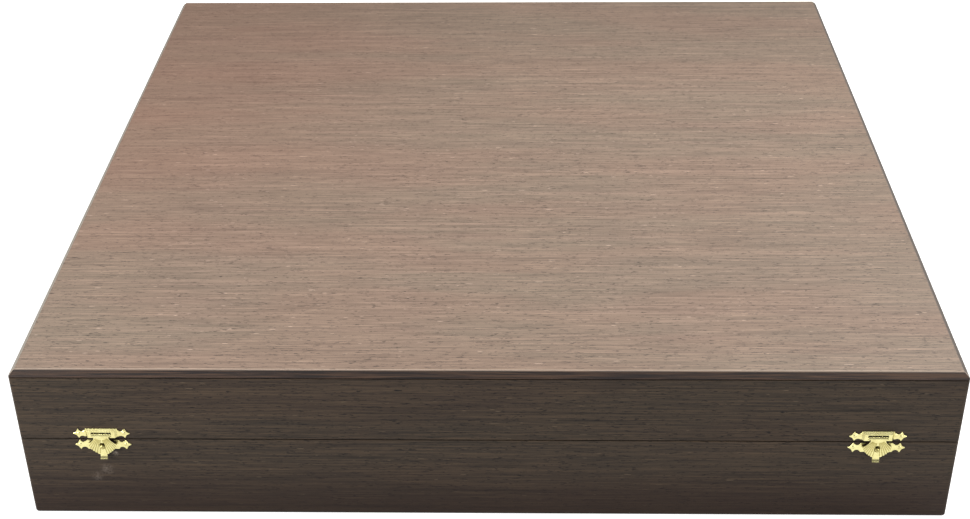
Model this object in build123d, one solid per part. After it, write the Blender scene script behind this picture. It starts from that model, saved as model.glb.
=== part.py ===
from build123d import *
import math
import os

# Chess box with a hinged lid. Units are millimetres.
# The frame stands on z = 0 with its centre on x = y = 0, its front faces -Y, and +Z is up.

# --- box ---------------------------------------------------------------------------------------
WIDTH = 500.0             # outside, along X
DEPTH = 500.0             # outside, along Y
HEIGHT = 95.5             # closed
SPLIT_Z = 51.6            # middle of the seam between base and lid
SEAM = 0.4                # open seam between the two rims
WALL = 9.0                # thickness of the mitred boards
CORNER_R = 1.6            # sanded vertical edges
FOOT_R = 1.8              # sanded lower edge
BASE_ARRIS = 0.12         # broken edge of the base's rim
LID_ARRIS = 0.4           # broken edge of the lid's rim
TOP_T = 4.0               # top panel, laid over the lid's boards
TOP_CHAMFER = 3.2
TOP_UNDERCUT = 0.6        # shadow line where the panel meets the boards
PANEL_T = 4.0             # bottom panel, let into a rebate from below
REBATE = 5.0              # how far that rebate goes into the boards
FELT_T = 1.2
FELT_GAP = 0.5            # felt is cut this much short of each board

# --- butt hinges ---------------------------------------------------------------------------------
HINGE_X = 150.0           # centre of each hinge, left and right of the middle
LEAF_L = 38.0
LEAF_W = 7.5              # from the back face into the board
LEAF_T = 1.0
BARREL_R = 2.0
BARREL_OFF = 2.2          # pin axis behind the back face
PIN_R = 0.95
PIN_FIT = 0.02            # radial, in the base knuckles that hold the pin
PIN_RUN = 0.06            # radial, in the lid knuckles that turn on it
KNUCKLES = 3              # two on the base leaf, one between them on the lid leaf
KNUCKLE_GAP = 0.1
SCREW_X = (-12.0, 12.0)
SCREW_IN = 4.2            # screw centres from the back face
SCREW_R = 0.8
SCREW_HEAD_R = 1.6
SCREW_L = 8.0
SCREW_POINT_R = 0.1
SCREW_SLOT = 0.45         # driver slot
SIDES = 10                # small fasteners are drawn with this many sides

# --- clasps ----------------------------------------------------------------------------------------
# A clasp is drawn flat: X across, Y up from the seam, Z out from the wood.
CLASP_X = {"left": -205.6, "right": 206.7}   # set by hand, so not quite symmetric
PLATE_T = 0.5
EDGE_BREAK = 0.15         # small chamfer for the soft rim that stamping leaves
TIP_X = 15.1              # reach of the spearheads
SPEAR_X = 12.5            # their upper and lower tips
SPEAR_NECK, SPEAR_HALF = 13.5, 1.06        # waist between those tips and the end, and half its height
TIP_HALF = 0.2            # half the height of the blunt end
LID_MID, LID_TOP, LID_LOW = 4.05, 7.1, 1.2
BASE_MID, BASE_TOP, BASE_LOW = -3.4, -0.35, -6.4
EYE_X, EYE_Y, EYE_R = 10.3, 0.45, 2.0      # round eye shared by both plates
NOTCH_R = 1.85                             # half-round notches in the outer edges
LID_NOTCH, BASE_NOTCH = (10.4, 7.35), (10.2, -6.85)
BASE_FOOT = ((2.2, -8.2), (5.5, -6.2), (7.4, -6.4))        # lower edge of the base plate, under the stud
BOSS_FOOT_X, BOSS_FOOT_Y, BOSS_LOW_Y = 8.4, 7.2, 2.1     # raised middle of the lid plate
BOSS_OUT, BOSS_SLOPE, BOSS_WALL = 1.75, 41.0, 0.65      # slope in degrees from the plate's normal
SLOT_X, SLOT_TOP = 5.4, 5.7
BAR_LOW, BAR_TOP, BAR_R = 3.2, 4.2, 0.2    # bar across the slot, inside the hasp's curl
SILL_X, SILL_TOP = 4.3, 3.0                # lower rim, cut away only behind the hasp's neck
DIMPLE_X, DIMPLE_Y, DIMPLE_R, DIMPLE_DEEP = 6.4, 4.7, 0.5, 0.2
NAIL_X, LID_NAIL_Y, BASE_NAIL_Y = 12.2, 4.1, -3.2
NAIL_R, NAIL_HEAD_R, NAIL_HEAD_H, NAIL_L = 0.45, 0.95, 0.4, 7.0
NAIL_POINT_R = 0.08
HOLE_CLEAR = 0.03         # pilot and nail holes, beyond the shank

HASP_T = 0.45
CURL_IN = 0.8             # inner radius of the curl that turns on the bar
CURL_SWEEP = 250.0        # degrees of curl, from its front over the top and round
CURL_X, CURL_BACK = 5.1, 0.3               # half width, and depth behind the bar where it narrows
CURL_SHOULDER = 0.5       # slope between the neck and the curl
NECK_X, NECK_TOP, NECK_LOW = 4.1, 3.55, 2.1
FLARE_X, FLARE_Y = 5.3, 0.3                # where the neck's curve passes
FAN_APEX = 6.0            # the ribs fan out from this height
RIB_FIRST, RIB_STEP, RIBS = 7.6, 6.2, 6    # degrees from the middle, on each side
FAN_R, FAN_TAPER = 14.42, 0.0936           # apex to rim, less the taper for each degree outwards
LOBE = 0.3                # bulge of each scallop
GROOVE_HALF, GROOVE_DEEP, GROOVE_START = 0.28, 0.18, 4.6
GROOVE_END = 0.5          # the innermost pair stops this far inside the rim
HOLE_TOP, HOLE_LOW, HOLE_R = -0.6, -5.0, 1.5
TAB_X0, TAB_X1, TAB_TOP = 1.8, 2.0, -8.3
TAB_BEND_R, TAB_BEND = 4.2, 46.0           # thumb tab curls outwards
TAB_SPARE = 5.0           # the flat outline runs on past the bent tab's end
HASP_LEAN = 2.5           # degrees, the fan hangs in towards the base plate

STUD_Y, STUD_R, STUD_OUT = -3.5, 1.25, 3.5
STUD_DOME = ((1.25, 0.6), (1.0, 0.15), (0.5, 0.0), (0.0, 0.0))   # radius and depth below the top
RIVET_R = 0.8
RELIEF_X = ((3.2, 5.6), (4.6, 7.9))        # cut-away beside the stud's tongue: top and bottom
RELIEF_LOW = -2.4

BEHIND, AHEAD = -1.0, 8.0                  # cutting shapes reach this far behind and before a clasp
AXIS_Y = DEPTH / 2 + BARREL_OFF
CURL_OUT = CURL_IN + HASP_T
BAR_Y = (BAR_LOW + BAR_TOP) / 2
BAR_Z = BOSS_OUT - PLATE_T / 2
BASE_RIM = SPLIT_Z - SEAM / 2
LID_RIM = SPLIT_Z + SEAM / 2
LID_BOARD_TOP = HEIGHT - TOP_T
FAR = 2 * max(WIDTH, DEPTH)


def block(x0, x1, y0, y1, z0, z1):
    """A box between two corners."""
    return Pos((x0 + x1) / 2, (y0 + y1) / 2, (z0 + z1) / 2) * Box(x1 - x0, y1 - y0, z1 - z0)


def rod(radius, x, y, z0, z1):
    """An upright cylinder."""
    return Pos(x, y, (z0 + z1) / 2) * Cylinder(radius, z1 - z0)


def taper(r0, r1, height):
    """A low-sided round peg that stands on z = 0 and narrows upwards, for small fasteners."""
    inset = (r0 - r1) * math.cos(math.pi / SIDES)
    return extrude(RegularPolygon(r0, SIDES), height, taper=math.degrees(math.atan2(inset, height)))


def mirrored(points):
    """Closed outline from the points of its right half, from bottom to top."""
    return points + [(-x, y) for x, y in reversed(points)]


def prism(points, z0, z1):
    face = make_face(Polyline(*points, close=True))
    return Pos(0, 0, z0) * extrude(face, z1 - z0)


# --- wooden frames -----------------------------------------------------------------------------------
def frame(z0, z1):
    """Outer block of the base or the lid, with its vertical edges sanded round."""
    body = block(-WIDTH / 2, WIDTH / 2, -DEPTH / 2, DEPTH / 2, z0, z1)
    return fillet(body.edges().filter_by(Axis.Z), CORNER_R)


def hollow(z0, z1, inset=WALL):
    return block(inset - WIDTH / 2, WIDTH / 2 - inset, inset - DEPTH / 2, DEPTH / 2 - inset, z0, z1)


def outer_edges(body, z):
    """The edges round the outline of a frame at height z."""
    level = body.edges().filter_by_position(Axis.Z, z - 0.01, z + 0.01)
    reach = min(WIDTH, DEPTH) / 2 - CORNER_R - 0.1
    return level.filter_by(lambda e: max(abs(e.center().X), abs(e.center().Y)) > reach)


def mitred_boards(body, z0, z1):
    """Cut a frame along its corners' diagonals into front, right, back and left boards."""
    corners = [(-FAR, -FAR), (FAR, -FAR), (FAR, FAR), (-FAR, FAR)]
    boards = {}
    for i, side in enumerate(("front", "right", "back", "left")):
        wedge = prism([(0, 0), corners[i], corners[(i + 1) % 4]], z0 - 1, z1 + 1)
        boards[side] = body & wedge
    return boards


def base_boards():
    body = chamfer(outer_edges(frame(0, BASE_RIM), BASE_RIM), BASE_ARRIS)
    body = fillet(outer_edges(body, 0), FOOT_R)
    body -= hollow(-1, BASE_RIM + 1)
    body -= hollow(-1, PANEL_T, WALL - REBATE)
    return mitred_boards(body, 0, BASE_RIM)


def lid_boards():
    body = chamfer(outer_edges(frame(LID_RIM, LID_BOARD_TOP), LID_RIM), LID_ARRIS)
    body -= hollow(LID_RIM - 1, LID_BOARD_TOP + 1)
    return mitred_boards(body, LID_RIM, LID_BOARD_TOP)


def top_panel():
    """Panel over the lid's boards: a wide chamfer above and a small undercut below."""
    body = block(-WIDTH / 2, WIDTH / 2, -DEPTH / 2, DEPTH / 2, LID_BOARD_TOP, HEIGHT)
    body = chamfer(body.faces().sort_by(Axis.Z)[-1].edges(), TOP_CHAMFER)
    body = chamfer(body.faces().sort_by(Axis.Z)[0].edges(), TOP_UNDERCUT)
    return body & frame(LID_BOARD_TOP - 1, HEIGHT + 1)


# --- butt hinges ---------------------------------------------------------------------------------------
def screw_points(hinge_x):
    return [(hinge_x + dx, DEPTH / 2 - SCREW_IN) for dx in SCREW_X]


def upright(shape, x, y, up):
    """Move a fastener, drawn with its head at z = 0 and its point up, into a rim of the box."""
    turn = Rot(0, 0, 0) if up > 0 else Rot(180, 0, 0)
    return Pos(x, y, SPLIT_Z + up * SEAM / 2) * turn * shape


def mortise(hinge_x, up):
    """Wood cut away for one leaf and its screws. up is -1 in the base and +1 in the lid."""
    rim = SPLIT_Z + up * SEAM / 2
    z0, z1 = sorted((rim - up, rim + up * LEAF_T))
    cut = block(hinge_x - LEAF_L / 2, hinge_x + LEAF_L / 2, DEPTH / 2 - LEAF_W, DEPTH / 2 + 1, z0, z1)
    pilot = taper(SCREW_R + HOLE_CLEAR, SCREW_R + HOLE_CLEAR, SCREW_L + 0.1)
    for x, y in screw_points(hinge_x):
        cut += upright(pilot, x, y, up)
    return cut


def screw(grow=0.0):
    """Countersunk wood screw, with its head flush with the leaf's face."""
    head = taper(SCREW_HEAD_R + grow, SCREW_R + grow, LEAF_T)
    point_l = 2 * SCREW_R
    shank = Pos(0, 0, LEAF_T) * taper(SCREW_R + grow, SCREW_R + grow, SCREW_L - LEAF_T - point_l)
    point = Pos(0, 0, SCREW_L - point_l) * taper(SCREW_R + grow, SCREW_POINT_R, point_l)
    return head + shank + point


def screws(hinge_x, up):
    slot = Box(3 * SCREW_HEAD_R, SCREW_SLOT, 2 * SCREW_SLOT)
    row = []
    for x, y in screw_points(hinge_x):
        turned = Rot(0, 0, 30 + 50 * len(row)) * slot
        row.append(upright(screw() - turned, x, y, up))
    return row


def knuckle_spans():
    """Start and end of each knuckle along the pin, from the hinge's centre."""
    pitch = LEAF_L / KNUCKLES
    gap = KNUCKLE_GAP / 2
    return [(-LEAF_L / 2 + i * pitch + gap, -LEAF_L / 2 + (i + 1) * pitch - gap) for i in range(KNUCKLES)]


def along_x(radius, x0, x1):
    """A cylinder on the pin's axis."""
    return Pos((x0 + x1) / 2, AXIS_Y, SPLIT_Z) * Rot(0, 90, 0) * Cylinder(radius, x1 - x0)


def leaf(hinge_x, up):
    """Leaf in its mortise. The base leaf has the outer knuckles and the lid leaf the middle one."""
    rim = SPLIT_Z + up * SEAM / 2
    z0, z1 = sorted((rim, rim + up * LEAF_T))
    body = block(hinge_x - LEAF_L / 2, hinge_x + LEAF_L / 2, DEPTH / 2 - LEAF_W, DEPTH / 2, z0, z1)
    first, run = (0, PIN_FIT) if up < 0 else (1, PIN_RUN)
    for x0, x1 in knuckle_spans()[first::2]:
        body += along_x(BARREL_R, hinge_x + x0, hinge_x + x1)
        body += block(hinge_x + x0, hinge_x + x1, DEPTH / 2 - 1, AXIS_Y, z0, z1)
    body -= along_x(PIN_R + run, hinge_x - LEAF_L, hinge_x + LEAF_L)
    for x, y in screw_points(hinge_x):
        body -= upright(screw(grow=0.01), x, y, up)
    return body


def pin(hinge_x):
    return along_x(PIN_R, hinge_x - LEAF_L / 2, hinge_x + LEAF_L / 2)


# --- clasps ------------------------------------------------------------------------------------------------
def clasp_place(clasp_x):
    """Where a clasp's flat drawing goes on the front of the box."""
    return Location(Plane((clasp_x, -DEPTH / 2, SPLIT_Z), x_dir=(1, 0, 0), z_dir=(0, -1, 0)))


def disc(radius, x, y):
    """A cutter for a round hole or notch."""
    return rod(radius, x, y, BEHIND, AHEAD)


def spear(mid, low, top):
    """Right-hand spearhead of a plate, from its lower tip round the end to its upper tip."""
    return [(SPEAR_X, low), (SPEAR_NECK, mid - SPEAR_HALF), (TIP_X, mid - TIP_HALF),
            (TIP_X, mid + TIP_HALF), (SPEAR_NECK, mid + SPEAR_HALF), (SPEAR_X, top)]


def nail_holes(y):
    """Holes for a plate's two nails, through the plate and on into the wood."""
    hole = taper(NAIL_R + HOLE_CLEAR, NAIL_R + HOLE_CLEAR, NAIL_L + 2)
    return Pos(-NAIL_X, y, -NAIL_L - 0.1) * hole + Pos(NAIL_X, y, -NAIL_L - 0.1) * hole


def break_front_edges(body, z):
    """Chamfer the rim of a stamped plate's front face at height z."""
    face = max(body.faces().filter_by(Plane.XY).filter_by_position(Axis.Z, z - 0.01, z + 0.01),
               key=lambda f: f.area)
    return chamfer(face.outer_wire().edges(), EDGE_BREAK)


def boss(half_x, top_y, z0, height):
    """Raised middle of the lid plate, sloped all round. Its low side is cut off afterwards."""
    foot = Pos(0, 0, z0) * Rectangle(2 * half_x, 2 * top_y)
    return extrude(foot, height, taper=BOSS_SLOPE)


def lid_plate():
    """Stamped plate on the lid: two spearheads, a raised middle, and a bar across its slot."""
    half = [(EYE_X, BOSS_LOW_Y), (EYE_X, LID_LOW)] + spear(LID_MID, LID_LOW, LID_TOP)
    half += [(LID_NOTCH[0], LID_TOP), (LID_NOTCH[0], BOSS_FOOT_Y)]
    body = prism(mirrored(half), 0, PLATE_T)
    for x in (-1, 1):
        body -= disc(EYE_R, x * EYE_X, EYE_Y)
        body -= disc(NOTCH_R, x * LID_NOTCH[0], LID_NOTCH[1])
    body = break_front_edges(body, PLATE_T)
    body += boss(BOSS_FOOT_X, BOSS_FOOT_Y, PLATE_T, BOSS_OUT - PLATE_T)
    body -= boss(BOSS_FOOT_X - BOSS_WALL, BOSS_FOOT_Y - BOSS_WALL, 0, BOSS_OUT - PLATE_T)
    body -= block(-BOSS_FOOT_X, BOSS_FOOT_X, -BOSS_FOOT_Y, BOSS_LOW_Y, BEHIND, AHEAD)
    body -= block(-SLOT_X, SLOT_X, SILL_TOP, SLOT_TOP, BEHIND, AHEAD)
    body -= block(-SLOT_X, SLOT_X, 0, SILL_TOP, BEHIND, BOSS_OUT - PLATE_T)
    body -= block(-SILL_X, SILL_X, 0, SLOT_TOP, BEHIND, AHEAD)
    bar = block(-SLOT_X, SLOT_X, BAR_LOW, BAR_TOP, BOSS_OUT - PLATE_T, BOSS_OUT)
    body += fillet(bar.edges().filter_by(Axis.X), BAR_R)
    dimple = Rot(180, 0, 0) * taper(2 * DIMPLE_R, DIMPLE_R / 3, 2 * DIMPLE_DEEP)
    for x in (-DIMPLE_X, DIMPLE_X):
        body -= Pos(x, DIMPLE_Y, BOSS_OUT + DIMPLE_DEEP) * dimple
    return body - nail_holes(LID_NAIL_Y)


def base_plate():
    """Stamped plate on the base: spearheads like the lid plate's and a tongue for the stud."""
    (top_in, top_out), (low_in, low_out) = RELIEF_X
    half = list(BASE_FOOT) + spear(BASE_MID, BASE_LOW, BASE_TOP)
    half += [(top_out, BASE_TOP), (low_out, RELIEF_LOW), (low_in, RELIEF_LOW), (top_in, BASE_TOP)]
    body = prism(mirrored(half), 0, PLATE_T)
    for x in (-1, 1):
        body -= disc(EYE_R, x * EYE_X, EYE_Y)
        body -= disc(NOTCH_R, x * BASE_NOTCH[0], BASE_NOTCH[1])
    body = break_front_edges(body, PLATE_T)
    body -= disc(RIVET_R + 0.01, 0, STUD_Y)
    return body - nail_holes(BASE_NAIL_Y)


def stud():
    """Round-headed stud, riveted through the base plate."""
    outline = [(0, 0), (RIVET_R, 0), (RIVET_R, PLATE_T), (STUD_R, PLATE_T)]
    outline += [(r, STUD_OUT - below) for r, below in STUD_DOME]
    profile = make_face(Plane.XZ * Polyline(*outline, close=True))
    return Pos(0, STUD_Y, 0) * revolve(profile, Axis.Z)


def nails(y):
    """Two round-headed nails, driven through a plate into the wood."""
    rim, crown = 0.65 * NAIL_HEAD_R, 0.25 * NAIL_HEAD_R
    side_h = 0.75 * NAIL_HEAD_H
    point_l = 3 * NAIL_R
    head = taper(NAIL_HEAD_R, rim, side_h) + Pos(0, 0, side_h) * taper(rim, crown, NAIL_HEAD_H - side_h)
    shank = Pos(0, 0, point_l - NAIL_L) * taper(NAIL_R, NAIL_R, NAIL_L - point_l + PLATE_T)
    point = Pos(0, 0, point_l - NAIL_L) * Rot(180, 0, 0) * taper(NAIL_R, NAIL_POINT_R, point_l)
    nail = Pos(0, 0, PLATE_T) * head + shank + point
    return [Pos(x, y, 0) * nail for x in (-NAIL_X, NAIL_X)]


def fan_point(degrees, bulge=0.0):
    """A point on the fan's rim, at this angle from the middle rib."""
    r = FAN_R - FAN_TAPER * (degrees - RIB_FIRST) + bulge
    return r * math.sin(math.radians(degrees)), FAN_APEX - r * math.cos(math.radians(degrees))


def hasp_outline():
    """Neck, flared fan with a scalloped rim, and thumb tab."""
    angles = [RIB_FIRST + i * RIB_STEP for i in range(RIBS + 1)]
    tab_end = TAB_TOP - TAB_SPARE
    half = [Line((0, tab_end), (TAB_X1, tab_end)), Line((TAB_X1, tab_end), (TAB_X0, TAB_TOP)),
            Line((TAB_X0, TAB_TOP), fan_point(angles[0]))]
    for a, b in zip(angles, angles[1:]):
        half.append(ThreePointArc(fan_point(a), fan_point((a + b) / 2, LOBE), fan_point(b)))
    half.append(ThreePointArc(fan_point(angles[-1]), (FLARE_X, FLARE_Y), (NECK_X, NECK_LOW)))
    top = BAR_TOP + CURL_OUT
    half.append(Polyline((NECK_X, NECK_LOW), (NECK_X, NECK_TOP), (CURL_X, NECK_TOP + CURL_SHOULDER),
                         (CURL_X, top), (0, top), (0, tab_end)))
    right = make_face(Curve() + half)
    return right + mirror(right, Plane.YZ)


def hasp_profile():
    """The bent strip seen from its end: curl, flat fan and outward thumb tab."""
    bar, bend = (BAR_Y, BAR_Z), (TAB_TOP, BAR_Z + CURL_IN + TAB_BEND_R)
    inner = CenterArc(bar, CURL_IN, 90, -CURL_SWEEP)
    outer = CenterArc(bar, CURL_OUT, 90, -CURL_SWEEP)
    tab_back = CenterArc(bend, TAB_BEND_R, -90, -TAB_BEND)
    tab_front = CenterArc(bend, TAB_BEND_R - HASP_T, -90, -TAB_BEND)
    edges = [inner, outer, tab_back, tab_front, Line(inner @ 1, outer @ 1), Line(tab_back @ 1, tab_front @ 1),
             Line(inner @ 0, tab_back @ 0), Line(outer @ 0, tab_front @ 0)]
    return make_face(Plane.YZ * (Curve() + edges))


def grooves(front):
    """Radial grooves between the fan's ribs, pressed into its front face."""
    section = Polyline((-2 * GROOVE_HALF, GROOVE_DEEP), (0, -GROOVE_DEEP), (2 * GROOVE_HALF, GROOVE_DEEP),
                       close=True)
    groove = extrude(make_face(Plane.XZ * section), FAN_R + 1)
    groove -= block(-1, 1, -GROOVE_START, 0, -1, 1)
    cuts = []
    for i in range(RIBS):
        cut = groove if i else groove - block(-1, 1, -2 * FAN_R, GROOVE_END - FAN_R, -1, 1)
        for side in (-1, 1):
            turn = Rot(0, 0, side * (RIB_FIRST + i * RIB_STEP))
            cuts.append(Pos(0, FAN_APEX, front) * turn * cut)
    return cuts


def hasp():
    """Hasp: a curl round the bar, a ribbed fan with a hole for the stud, and a bent thumb tab."""
    body = extrude(hasp_profile(), 2 * CURL_X, both=True) & extrude(hasp_outline(), AHEAD)
    for x0, x1 in ((-2 * CURL_X, -NECK_X), (NECK_X, 2 * CURL_X)):
        body -= block(x0, x1, 0, 2 * BAR_TOP, BEHIND, BAR_Z - CURL_BACK)
    for cut in grooves(BAR_Z + CURL_OUT):
        body -= cut
    hole_h = HOLE_TOP - HOLE_LOW
    hole = Pos(0, (HOLE_TOP + HOLE_LOW) / 2) * SlotOverall(hole_h, 2 * HOLE_R, rotation=90)
    body -= extrude(hole, AHEAD)
    lean = Pos(0, BAR_Y, BAR_Z) * Rot(HASP_LEAN, 0, 0) * Pos(0, -BAR_Y, -BAR_Z)
    return lean * body


# --- the whole box ---------------------------------------------------------------------------------------------
def build():
    parts = {}
    base, lid = base_boards(), lid_boards()
    for hinge_x in (-HINGE_X, HINGE_X):
        base["back"] -= mortise(hinge_x, -1)
        lid["back"] -= mortise(hinge_x, 1)
    for clasp_x in CLASP_X.values():
        lid["front"] -= clasp_place(clasp_x) * nail_holes(LID_NAIL_Y)
        base["front"] -= clasp_place(clasp_x) * nail_holes(BASE_NAIL_Y)
    for side in ("front", "back", "left", "right"):
        parts[f"base_{side}_wall"] = base[side]
        parts[f"lid_{side}_wall"] = lid[side]
    parts["base_panel"] = hollow(0, PANEL_T, WALL - REBATE)
    parts["base_lining"] = hollow(PANEL_T, PANEL_T + FELT_T, WALL + FELT_GAP)
    parts["lid_top_panel"] = top_panel()
    parts["lid_lining"] = hollow(LID_BOARD_TOP - FELT_T, LID_BOARD_TOP, WALL + FELT_GAP)

    for side, x in (("left", -1), ("right", 1)):
        hinge_x, place = x * HINGE_X, clasp_place(CLASP_X[side])
        parts[f"hinge_{side}_base_leaf"] = leaf(hinge_x, -1)
        parts[f"hinge_{side}_lid_leaf"] = leaf(hinge_x, 1)
        parts[f"hinge_{side}_pin"] = pin(hinge_x)
        parts[f"hinge_{side}_base_screws"] = Compound(children=screws(hinge_x, -1))
        parts[f"hinge_{side}_lid_screws"] = Compound(children=screws(hinge_x, 1))
        parts[f"clasp_{side}_lid_plate"] = place * lid_plate()
        parts[f"clasp_{side}_base_plate"] = place * base_plate()
        parts[f"clasp_{side}_stud"] = place * stud()
        parts[f"clasp_{side}_hasp"] = place * hasp()
        for name, y in (("lid", LID_NAIL_Y), ("base", BASE_NAIL_Y)):
            pair = [place * nail for nail in nails(y)]
            parts[f"clasp_{side}_{name}_nails"] = Compound(children=pair)
    return parts


os.makedirs("parts", exist_ok=True)
for name, shape in build().items():
    export_step(shape, f"parts/{name}.step")
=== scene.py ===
import math

import bmesh
import bpy
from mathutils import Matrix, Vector

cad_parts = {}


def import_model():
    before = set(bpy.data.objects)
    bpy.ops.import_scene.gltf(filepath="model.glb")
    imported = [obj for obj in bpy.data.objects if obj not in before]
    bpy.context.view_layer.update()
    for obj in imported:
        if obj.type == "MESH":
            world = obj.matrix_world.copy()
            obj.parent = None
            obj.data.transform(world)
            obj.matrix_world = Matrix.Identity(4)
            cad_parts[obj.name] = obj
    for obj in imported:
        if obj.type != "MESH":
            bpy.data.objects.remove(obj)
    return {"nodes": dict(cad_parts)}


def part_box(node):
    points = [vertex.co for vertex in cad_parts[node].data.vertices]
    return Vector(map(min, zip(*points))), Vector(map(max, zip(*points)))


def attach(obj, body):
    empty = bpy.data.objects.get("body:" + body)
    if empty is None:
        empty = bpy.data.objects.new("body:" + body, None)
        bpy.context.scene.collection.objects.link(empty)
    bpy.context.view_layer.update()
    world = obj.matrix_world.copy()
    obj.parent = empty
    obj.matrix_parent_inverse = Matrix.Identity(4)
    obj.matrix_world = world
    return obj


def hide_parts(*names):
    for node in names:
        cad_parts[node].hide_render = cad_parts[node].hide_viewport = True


# Chess box with a hinged lid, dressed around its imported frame. Units are metres unless a name says mm.
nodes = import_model()["nodes"]
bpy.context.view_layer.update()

MM = 0.001
HALF_WIDTH, HALF_DEPTH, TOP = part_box("lid_top_panel")[1]
TOP_CHAMFER = 3.2 * MM
SCUFFS_MM = ((-200, 42, 2.2, 0.6), (-206, 31, 5.0, 0.15), (-212, 26, 4.5, 0.13))   # x, z, radius, strength

SAME_POINT = 0.001 * MM
SHORT_EDGE = 0.06 * MM      # shorter edges would hold a bevel back
SMOOTH_ANGLE = math.radians(40)
CLASP_EDGE = 0.18 * MM
HINGE_EDGE = 0.15 * MM
FELT_EDGE = 0.35 * MM

FLOOR_HALF = 300.0          # reaches the horizon in low views
FLOOR_DROP = 0.2 * MM


# --- shading helpers ---------------------------------------------------------------------------------

def colour(code):
    """A linear colour from an sRGB hex value."""
    channels = [int(code[i:i + 2], 16) / 255 for i in (1, 3, 5)]
    linear = [c / 12.92 if c <= 0.04045 else ((c + 0.055) / 1.055) ** 2.4 for c in channels]
    return (*linear, 1.0)


def add(tree, kind, inputs, out=0, **settings):
    """Add a node with its settings, and a value or a link for each input. Gives one of its outputs."""
    made = tree.nodes.new(kind)
    for name, value in settings.items():
        setattr(made, name, value)
    for socket, value in inputs.items():
        if isinstance(value, bpy.types.NodeSocket):
            tree.links.new(value, made.inputs[socket])
        else:
            made.inputs[socket].default_value = value
    return made.outputs[out]


def new_material(name, **constants):
    """A material with one Principled shader, whose constant sockets are set here."""
    material = bpy.data.materials.new(name)
    material.use_nodes = True
    shader = material.node_tree.nodes["Principled BSDF"]
    for socket, value in constants.items():
        shader.inputs[socket.replace("_", " ")].default_value = value
    return material, material.node_tree, shader


def speckle(tree, size_mm, detail=2.0, roughness=0.5, shift=0.0):
    """A soft random pattern from 0 to 1, whose grains are size_mm long in x, y and z.

    The shift keeps two patterns of one material from lying on each other.
    """
    place = add(tree, "ShaderNodeTexCoord", {}, out="Object")
    scale = [1 / (size * MM) for size in size_mm]
    spread = add(tree, "ShaderNodeMapping", {"Vector": place, "Location": (shift,) * 3, "Scale": scale})
    return add(tree, "ShaderNodeTexNoise",
               {"Vector": spread, "Scale": 1.0, "Detail": detail, "Roughness": roughness})


def grain(tree, axis, long_mm, fine_mm, **rest):
    """Wood grain that runs along x (axis 0) or y (axis 1)."""
    size = [fine_mm, fine_mm, fine_mm]
    size[axis] = long_mm
    return speckle(tree, size, **rest)


def overlay(tree, base, over, amount, *limits):
    """Lay a colour over the base. Each limit fades it in while a value goes from one number to another."""
    for value, start, end in limits:
        fade = add(tree, "ShaderNodeMapRange", {"Value": value, "From Min": start, "From Max": end},
                   interpolation_type="SMOOTHSTEP")
        amount = add(tree, "ShaderNodeMath", {0: amount, 1: fade}, operation="MULTIPLY")
    over = colour(over) if isinstance(over, str) else over
    return add(tree, "ShaderNodeMix", {0: amount, 6: base, 7: over}, out=2, data_type="RGBA")


# --- materials ---------------------------------------------------------------------------------------

# Stained wenge. The walls' tones are darker and greyer than the lid's panel's: partly a darker stain,
# partly painted shade.
PANEL_TONES = {"ground": "#3A322A", "red": "#423129", "band": "#2E2420", "stripe": "#52433A",
               "fibre": "#655549", "line": "#1D1612", "pore": "#0E0A08", "fleck": "#928074"}
SHADED_WALL_TONES = {"ground": "#221C16", "red": "#291C15", "band": "#19130F", "stripe": "#342A20",
              "fibre": "#433628", "line": "#0F0B06", "pore": "#060403", "fleck": "#635543"}


def stained_veneer(name, axis, tones, contrast, pore_mm, stain_and_painted_light):
    """Wenge veneer, sanded, stained dark and rubbed with a matt lacquer.

    It shows straight fibres in slow bands, short dark pores, and pale flecks where the stain didn't take.
    Real pores and fibres are 0.2 mm wide. They are drawn wider, so that they show from a metre away, most
    of all on the lid, which is seen at a slant. Sizes are along and across the grain.
    """
    material, tree, shader = new_material(name, Roughness=0.6, IOR=1.5, Specular_IOR_Level=0.14)
    drift = grain(tree, axis, 190, 45, detail=3, shift=7)
    band = grain(tree, axis, 500, 12, detail=3, shift=3)
    stripe = grain(tree, axis, 240, 3, detail=3, shift=31)
    fibre = grain(tree, axis, 40, 0.6, detail=5, roughness=0.8)
    line = grain(tree, axis, 110, 1.1, detail=2, shift=23)
    pore = grain(tree, axis, *pore_mm, detail=2, roughness=0.6, shift=11)
    fleck = grain(tree, axis, 8, 0.6, detail=1, shift=17)
    pore_rim, pore_bottom = 0.60, 0.66

    base = overlay(tree, colour(tones["ground"]), tones["red"], 0.35, (drift, 0.42, 0.62))
    base = overlay(tree, base, tones["band"], 0.2 * contrast, (band, 0.45, 0.7))
    base = overlay(tree, base, tones["stripe"], 0.3 * contrast, (stripe, 0.45, 0.7))
    base = overlay(tree, base, tones["fibre"], 0.75 * contrast, (fibre, 0.40, 0.75))
    base = overlay(tree, base, tones["line"], 0.4 * contrast, (line, 0.60, 0.70))
    base = overlay(tree, base, tones["pore"], 0.8 * contrast, (pore, pore_rim, pore_bottom))
    base = overlay(tree, base, tones["fleck"], 0.5, (fleck, 0.75, 0.79))
    # The last step adds each surface's stain, and its painted shade, highlight and reflection.
    tree.links.new(stain_and_painted_light(tree, base), shader.inputs["Base Color"])

    holes = add(tree, "ShaderNodeMapRange",
                {"Value": pore, "From Min": pore_rim, "From Max": pore_bottom, "To Max": 1.5})
    relief = add(tree, "ShaderNodeMath", {0: fibre, 1: holes}, operation="SUBTRACT")
    bump = add(tree, "ShaderNodeBump", {"Height": relief, "Strength": 0.25, "Distance": 0.1 * MM})
    tree.links.new(bump, shader.inputs["Normal"])
    return material


def place_on_box(tree):
    """The x, y and z of a point, measured from the middle of the box's foot."""
    place = add(tree, "ShaderNodeTexCoord", {}, out="Object")
    return add(tree, "ShaderNodeSeparateXYZ", {0: place}).node.outputs


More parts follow.
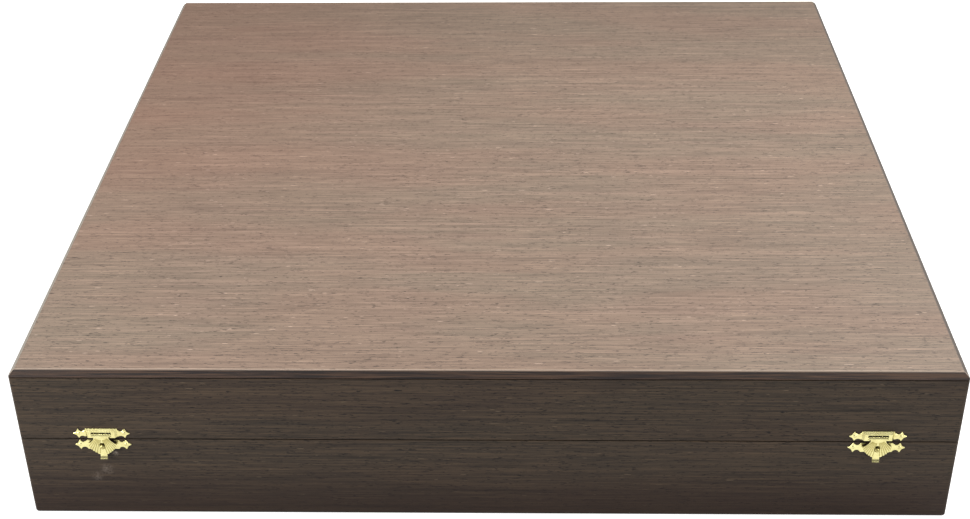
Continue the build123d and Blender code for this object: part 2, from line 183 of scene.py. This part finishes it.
def top_stain_and_painted_light(tree, base):
    """The lid's panel is stained redder at its left, and painted darker towards its back as shade.

    The chamfers at the front and back show its streaky core, painted near black as shade. Along the
    sides they show the core's end grain in a flat dark grey-brown, darkened as painted shade, and the left
    one is painted pale grey as a reflection.
    """
    x, y, z = place_on_box(tree)
    out_x, out_y = (add(tree, "ShaderNodeMath", {0: way}, operation="ABSOLUTE") for way in (x, y))
    leftwards = (x, 0.2 * HALF_WIDTH, -HALF_WIDTH)
    base = overlay(tree, base, "#40251B", 0.28, leftwards, (y, -HALF_DEPTH, 0.3 * HALF_DEPTH))
    # Painted shade: darker towards the back of the panel.
    base = overlay(tree, base, PANEL_TONES["line"], 0.2, (y, 0.1 * HALF_DEPTH, HALF_DEPTH))

    core = grain(tree, 0, 40, 0.55, detail=3, roughness=0.7, shift=41)
    shaded_core_streaks = overlay(tree, colour("#080302"), "#291B11", 0.9, (core, 0.42, 0.62))
    ahead = add(tree, "ShaderNodeMath", {0: out_y, 1: out_x}, operation="SUBTRACT")
    cut_in = (z, TOP - 0.05 * MM, TOP - 0.25 * MM)
    at_sides = (ahead, 0.1 * MM, -0.1 * MM)
    # Painted shade: the front and back chamfers get the core's streaks in near black.
    base = overlay(tree, base, shaded_core_streaks, 1.0, cut_in, (ahead, -0.1 * MM, 0.1 * MM))
    # Painted shade: the side chamfers' end grain in a flat dark grey-brown.
    base = overlay(tree, base, "#221B15", 1.0, cut_in, at_sides)
    # Painted reflection: the left chamfer is pale grey.
    base = overlay(tree, base, "#4A453E", 1.0, cut_in, at_sides, (x, 1 * MM, -1 * MM))

    # The pale line along the edge between the top and its front and back chamfers is a painted highlight.
    arris = HALF_DEPTH - TOP_CHAMFER
    return overlay(tree, base, "#6D6156", 0.4, (out_y, arris - 0.9 * MM, arris - 0.2 * MM),
                   (out_y, arris + 0.6 * MM, arris + 0.2 * MM))


def wall_painted_shade_and_scuffs(tree, base):
    """Painted darker and redder near the foot as shade, with pale scuffs where a thumb misses the left
    clasp.
    """
    height = place_on_box(tree)["Z"]
    # Painted shade: darker and redder towards the foot.
    base = overlay(tree, base, "#180B06", 0.65, (height, 42 * MM, 2 * MM))
    place = add(tree, "ShaderNodeTexCoord", {}, out="Object")
    crumbs = speckle(tree, (1.2, 1.2, 1.2), detail=3, roughness=0.8)
    for x, z, radius, strength in SCUFFS_MM:
        centre = (x * MM, -HALF_DEPTH, z * MM)
        gap = add(tree, "ShaderNodeVectorMath", {0: place, 1: centre}, out="Value", operation="DISTANCE")
        within = (gap, radius * MM, 0.2 * radius * MM)
        base = overlay(tree, base, "#8A7F74", strength, within, (crumbs, 0.4, 0.6))
    return base


def plywood_underside(name):
    """Thin birch plywood, stained dark and left unpolished: a broad peeled figure under fine short fibres.

    The fibres are drawn 0.6 mm wide, as real ones are too fine to show.
    """
    material, tree, shader = new_material(name, Roughness=0.75, Specular_IOR_Level=0.25)
    figure = speckle(tree, (220, 18, 18), detail=3, shift=51)
    fibre = speckle(tree, (12, 0.6, 0.6), detail=4, roughness=0.7, shift=53)
    base = overlay(tree, colour("#4A3A2D"), "#6B543D", 0.8, (figure, 0.38, 0.62))
    base = overlay(tree, base, "#2E2219", 0.6, (figure, 0.60, 0.66))
    base = overlay(tree, base, "#836B52", 0.5, (fibre, 0.45, 0.75))
    tree.links.new(base, shader.inputs["Base Color"])
    bump = add(tree, "ShaderNodeBump", {"Height": fibre, "Strength": 0.4, "Distance": 0.1 * MM})
    tree.links.new(bump, shader.inputs["Normal"])
    return material


def felt(name, dark, light):
    """Pressed wool felt, matt, with a short nap. It is drawn as tufts of 0.7 mm, as hairs are too fine."""
    material, tree, shader = new_material(name, Roughness=0.95, Specular_IOR_Level=0.1, Sheen_Weight=0.06,
                                          Sheen_Roughness=0.4)
    nap = speckle(tree, (0.7, 0.7, 0.7), detail=4, roughness=0.7)
    patch = speckle(tree, (35, 35, 35), detail=2)
    base = overlay(tree, colour(dark), light, 1.0, (nap, 0.3, 0.7))
    base = overlay(tree, base, dark, 0.25, (patch, 0.3, 0.7))
    tree.links.new(base, shader.inputs["Base Color"])
    bump = add(tree, "ShaderNodeBump", {"Height": nap, "Strength": 0.6, "Distance": 0.3 * MM})
    tree.links.new(bump, shader.inputs["Normal"])
    return material


def brass(name, bright, dull, smooth, rough):
    """Brass, tumbled bright and thinly lacquered. The sloped walls of the hasps' grooves are painted olive
    as shade.

    Tumbling leaves marks finer than the 0.5 mm that they are drawn at.
    """
    material, tree, shader = new_material(name, Metallic=1.0)
    mottle = speckle(tree, (4, 4, 4), detail=2)
    marks = speckle(tree, (0.5, 0.5, 0.5), detail=2, shift=5)
    groove = add(tree, "ShaderNodeAttribute", {}, out="Fac", attribute_name="groove")
    base = overlay(tree, colour(bright), dull, 1.0, (mottle, 0.3, 0.7))
    # Painted shade: olive on the sloped walls of the hasps' grooves.
    base = overlay(tree, base, "#8C8040", 0.6, (groove, 0.0, 1.0))
    tree.links.new(base, shader.inputs["Base Color"])
    polish = add(tree, "ShaderNodeMapRange",
                 {"Value": marks, "From Min": 0.3, "From Max": 0.7, "To Min": smooth, "To Max": rough})
    tree.links.new(polish, shader.inputs["Roughness"])
    bump = add(tree, "ShaderNodeBump", {"Height": mottle, "Strength": 0.06, "Distance": 0.1 * MM})
    tree.links.new(bump, shader.inputs["Normal"])
    return material


def pale_floor():
    """White sweep of a photo studio, lit from inside a little so that it stays white near the box."""
    material, _, shader = new_material("studio_floor", Roughness=0.9, Emission_Strength=1.0)
    shader.inputs["Base Color"].default_value = colour("#606060")
    shader.inputs["Emission Color"].default_value = (1, 1, 1, 1)
    return material


# --- pieces ------------------------------------------------------------------------------------------

def new_piece(name, mesh, material):
    """Turn a bmesh into an object. Edges that turn by less than SMOOTH_ANGLE are shaded smooth."""
    for face in mesh.faces:
        face.smooth = True
    for edge in mesh.edges:
        edge.smooth = edge.calc_face_angle(0) < SMOOTH_ANGLE
    data = bpy.data.meshes.new(name)
    mesh.to_mesh(data)
    mesh.free()
    data.materials.append(material)
    piece = bpy.data.objects.new(name, data)
    bpy.context.scene.collection.objects.link(piece)
    return piece


def stands_for(piece, node, body):
    """The piece shows in place of a node of the frame, and moves with its body."""
    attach(piece, body)
    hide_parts(node)


def dress(material, *names):
    """Give nodes of the frame their material."""
    for name in names:
        nodes[name].data.materials.clear()
        nodes[name].data.materials.append(material)


def mark_grooves(mesh):
    """Set the attribute groove to 1 on the sloped walls of the grooves pressed into a hasp's front, where
    the brass paints olive shade.
    """
    groove = mesh.faces.layers.float.new("groove")
    for face in mesh.faces:
        face[groove] = float(0.3 < abs(face.normal.x) < 0.7 and face.normal.y < -0.7)


def softened(node, body, material, width):
    """A metal piece of the frame with its sharp edges rounded over."""
    mesh = bmesh.new()
    mesh.from_mesh(nodes[node].data)
    bmesh.ops.remove_doubles(mesh, verts=mesh.verts, dist=SAME_POINT)
    bmesh.ops.dissolve_limit(mesh, angle_limit=math.radians(1), verts=mesh.verts, edges=mesh.edges)
    bmesh.ops.remove_doubles(mesh, verts=mesh.verts, dist=SHORT_EDGE)
    if "hasp" in node:
        mark_grooves(mesh)
    piece = new_piece(node + "_finished", mesh, material)
    round_over = piece.modifiers.new("round_over", "BEVEL")
    round_over.width = width
    round_over.segments = 2
    round_over.limit_method = "ANGLE"
    round_over.angle_limit = math.radians(28)
    stands_for(piece, node, body)


def dome(rim, height, top, steps=6):
    """Profile of a round head, as radius and y, from its rim to its top."""
    ball = (rim ** 2 + height ** 2) / (2 * height)
    angles = [math.asin(rim / ball) * (1 - i / steps) for i in range(steps + 1)]
    return [(ball * math.sin(angle), top + ball * (1 - math.cos(angle))) for angle in angles]


def turned(mesh, profile, x, z):
    """Spin a profile of radius and y round the line through x and z."""
    points = [mesh.verts.new((x + radius, y, z)) for radius, y in profile]
    lines = [mesh.edges.new(pair) for pair in zip(points, points[1:])]
    bmesh.ops.spin(mesh, geom=points + lines, axis=(0, 1, 0), cent=(x, 0, z), angle=2 * math.pi, steps=24,
                   use_merge=True)
    bmesh.ops.remove_doubles(mesh, verts=mesh.verts, dist=SAME_POINT)
    bmesh.ops.recalc_face_normals(mesh, faces=mesh.faces)


def nails(node, body, material):
    """Two round-headed escutcheon pins, from the front face of their plate into the wood."""
    low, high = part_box(node)
    rim, shank, head = 0.95 * MM, 0.45 * MM, 0.4 * MM
    point = [(0, high.y), (shank, high.y - 3 * shank), (shank, low.y + head)]
    mesh = bmesh.new()
    for x in (low.x + rim, high.x - rim):
        turned(mesh, point + dome(rim, head, low.y), x, (low.z + high.z) / 2)
    stands_for(new_piece(node + "_finished", mesh, material), node, body)


def stud(node, body, material):
    """Round-headed stud, riveted through its plate."""
    low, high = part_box(node)
    rivet, plate, head, rim = 0.8 * MM, 0.5 * MM, 0.6 * MM, (high.x - low.x) / 2
    foot = [(0, high.y), (rivet, high.y), (rivet, high.y - plate), (rim, high.y - plate)]
    mesh = bmesh.new()
    turned(mesh, foot + dome(rim, head, low.y), (low.x + high.x) / 2, (low.z + high.z) / 2)
    stands_for(new_piece(node + "_finished", mesh, material), node, body)


def lining(node, body, material):
    """Felt sheet, laid between the boards, with its cut edges a little rounded by the nap."""
    low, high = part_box(node)
    mesh = bmesh.new()
    bmesh.ops.create_grid(mesh, x_segments=48, y_segments=48, size=0.5)
    bmesh.ops.scale(mesh, vec=(high.x - low.x, high.y - low.y, 1), verts=mesh.verts)
    raised = bmesh.ops.extrude_face_region(mesh, geom=mesh.faces[:])["geom"]
    upper = [part for part in raised if isinstance(part, bmesh.types.BMVert)]
    bmesh.ops.translate(mesh, vec=(0, 0, high.z - low.z), verts=upper)
    middle = ((low.x + high.x) / 2, (low.y + high.y) / 2, low.z)
    bmesh.ops.translate(mesh, vec=middle, verts=mesh.verts)
    bmesh.ops.recalc_face_normals(mesh, faces=mesh.faces)
    rim = [edge for edge in mesh.edges if edge.calc_face_angle(0) > math.radians(60)]
    bmesh.ops.bevel(mesh, geom=rim, offset=FELT_EDGE, affect="EDGES", segments=2, profile=0.5, material=-1)
    piece = new_piece(node + "_felt", mesh, material)
    stands_for(piece, node, body)


# --- the box -----------------------------------------------------------------------------------------

veneer_x = stained_veneer("wenge_veneer_across", 0, SHADED_WALL_TONES, 1.2, (4, 0.45), wall_painted_shade_and_scuffs)
veneer_y = stained_veneer("wenge_veneer_deep", 1, SHADED_WALL_TONES, 1.2, (4, 0.45), wall_painted_shade_and_scuffs)
veneer_top = stained_veneer("wenge_veneer_top", 0, PANEL_TONES, 0.85, (4, 0.7), top_stain_and_painted_light)
plywood = plywood_underside("stained_plywood")
green_felt = felt("green_wool_felt", "#091A10", "#132D1C")
clasp_brass = brass("stamped_clasp_brass", "#C9C28A", "#BCB37B", 0.24, 0.32)
# The studs' heads are a darker, rougher copy of the clasp brass; the darker colour is painted shade where
# they sit in the hasps' holes.
shaded_stud_brass = brass("turned_stud_brass_painted_shade", "#A59C66", "#968C56", 0.32, 0.42)
hinge_brass = brass("rolled_hinge_brass", "#CDB375", "#BCA062", 0.28, 0.42)

for part in ("base", "lid"):
    dress(veneer_x, part + "_front_wall", part + "_back_wall")
    dress(veneer_y, part + "_left_wall", part + "_right_wall")
dress(veneer_top, "lid_top_panel")
dress(plywood, "base_panel")

for side in ("left", "right"):
    for node, body in (("lid_plate", "lid"), ("base_plate", "base"), ("hasp", "hasp_" + side)):
        softened(f"clasp_{side}_{node}", body, clasp_brass, CLASP_EDGE)
    stud(f"clasp_{side}_stud", "base", shaded_stud_brass)
    for part in ("base", "lid"):
        nails(f"clasp_{side}_{part}_nails", part, clasp_brass)
    for node in ("base_leaf", "lid_leaf", "pin", "base_screws", "lid_screws"):
        body = "lid" if node.startswith("lid") else "base"
        softened(f"hinge_{side}_{node}", body, hinge_brass, HINGE_EDGE)

lining("base_lining", "base", green_felt)
lining("lid_lining", "lid", green_felt)


# --- studio ------------------------------------------------------------------------------------------

def studio_floor():
    """A floor that fills every view, just under the box's foot."""
    mesh = bmesh.new()
    bmesh.ops.create_grid(mesh, x_segments=1, y_segments=1, size=FLOOR_HALF)
    bmesh.ops.translate(mesh, vec=(0, 0, -FLOOR_DROP), verts=mesh.verts)
    new_piece("studio_floor", mesh, pale_floor())


def studio_world():
    """An even, dim white sky, which the brass mirrors."""
    world = bpy.data.worlds.new("studio")
    bpy.context.scene.world = world
    world.use_nodes = True
    sky = world.node_tree.nodes["Background"]
    sky.inputs["Color"].default_value = (1, 1, 1, 1)
    sky.inputs["Strength"].default_value = 0.2


def soft_light(name, place, aim, size, power):
    """A rectangular lamp at a place, turned towards its aim. Its power is in watts."""
    light = bpy.data.lights.new(name, "AREA")
    light.shape = "RECTANGLE"
    light.size, light.size_y = size
    light.energy = power
    lamp = bpy.data.objects.new(name, light)
    bpy.context.scene.collection.objects.link(lamp)
    lamp.location = place
    lamp.rotation_euler = (Vector(aim) - Vector(place)).to_track_quat("-Z", "Y").to_euler()


def studio_camera(place, turn, lens_mm):
    """A camera at a place, turned from looking straight down by so many degrees about x, y and z."""
    lens = bpy.data.cameras.new("camera")
    lens.sensor_width = 36
    lens.sensor_fit = "HORIZONTAL"
    lens.lens = lens_mm
    lens.clip_start = 0.01
    lens.clip_end = 500
    camera = bpy.data.objects.new("camera", lens)
    bpy.context.scene.collection.objects.link(camera)
    camera.location = place
    camera.rotation_euler = [math.radians(angle) for angle in turn]
    bpy.context.scene.camera = camera


studio_floor()
studio_world()
soft_light("left_softbox", (-1.3, 0.4, 1.8), (0.0, 0.0, 0.1), (1.2, 1.2), 93)
soft_light("right_softbox", (1.3, 0.4, 1.8), (0.0, 0.0, 0.1), (1.2, 1.2), 232)
soft_light("left_card", (-0.85, -0.55, 0.45), (-0.2, -0.2, 0.05), (0.6, 0.6), 19)
soft_light("right_card", (0.85, -0.55, 0.45), (0.2, -0.2, 0.05), (0.6, 0.6), 8)
soft_light("front_card", (0.0, -1.1, 1.3), (0.0, -0.2, 0.1), (2.0, 1.2), 5)
# From the front, 1.1 m away and a little right of the middle, looking down at about 32 degrees.
studio_camera((0.017695, -0.90408, 0.57099), (58.18065, 0.61520, 1.13563), 57.845)
bpy.context.scene.view_settings.view_transform = "Standard"
